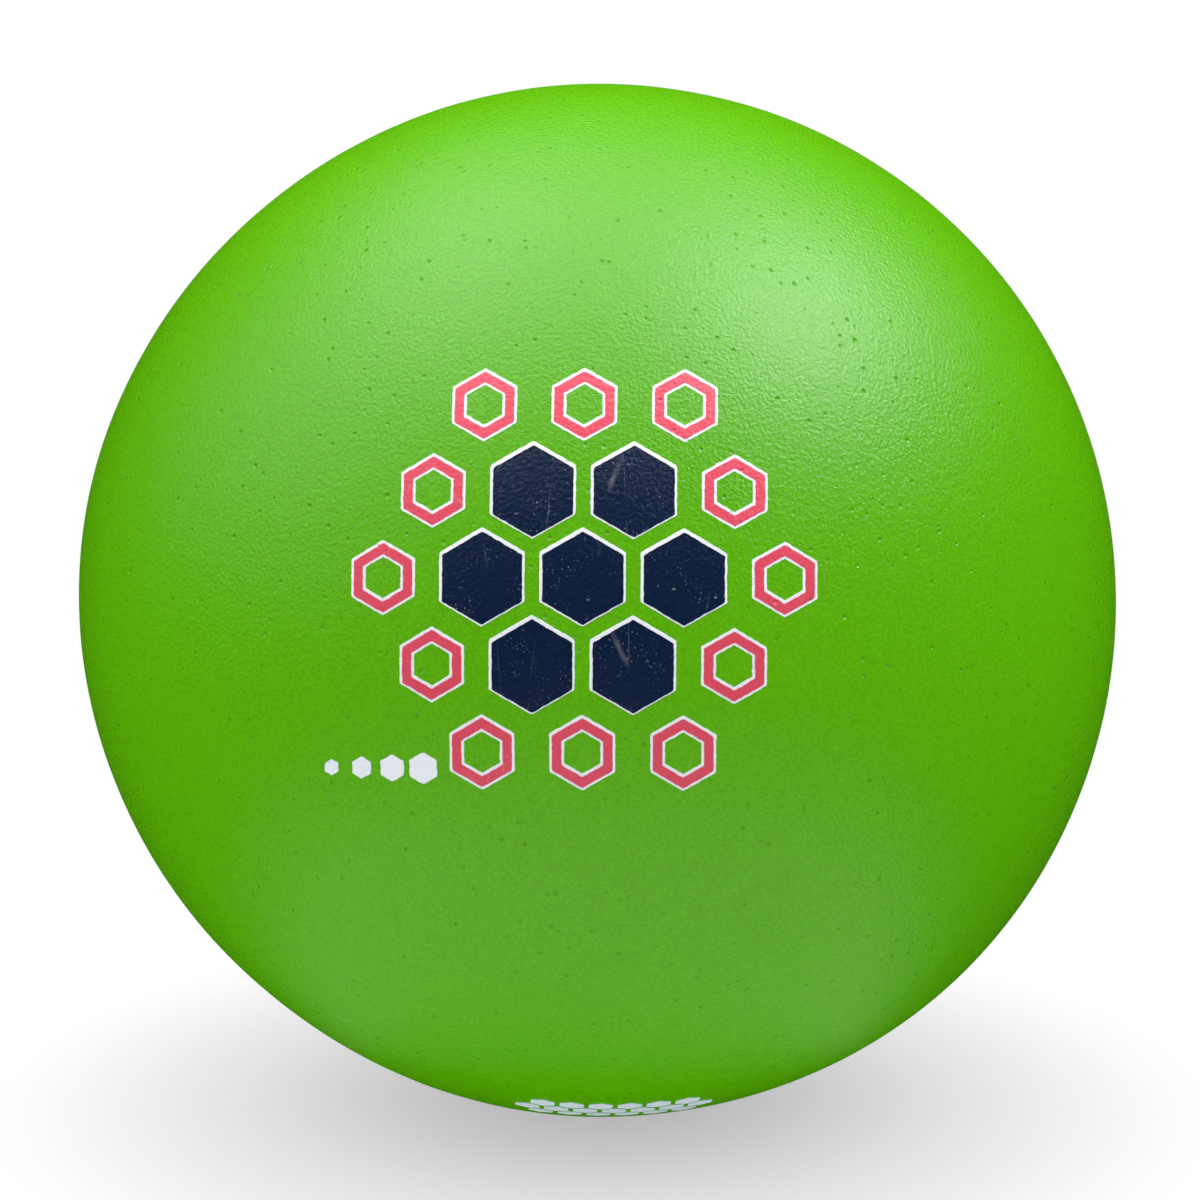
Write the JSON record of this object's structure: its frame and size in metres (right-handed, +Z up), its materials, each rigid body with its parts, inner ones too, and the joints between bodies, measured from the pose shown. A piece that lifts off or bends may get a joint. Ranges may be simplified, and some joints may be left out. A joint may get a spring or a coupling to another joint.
{
  "type": "dodgeball",
  "caption": "Soft foam dodgeball with a seal coat, a seamless grained green skin and printed hexagon marks in navy, red and white.",
  "frame": {"origin": "centre of the ball", "axes": "-Y points out of the ball near the front print, whose centre lies 12 degrees above it; +Z is up as the print is read"},
  "size_m": [0.178, 0.1781, 0.178],
  "materials": {
    "foam": "matte",
    "seal": "satin",
    "skin": "satin",
    "white_ink": "satin",
    "navy_ink": "satin",
    "red_ink": "satin"
  },
  "bodies": {
    "root": {"foam_core": "foam", "seal_coat": "seal", "skin": "skin", "print_white": "white_ink", "print_navy": "navy_ink", "print_red": "red_ink", "side_mark": "white_ink", "under_mark": "white_ink"}
  },
  "joints": []
}
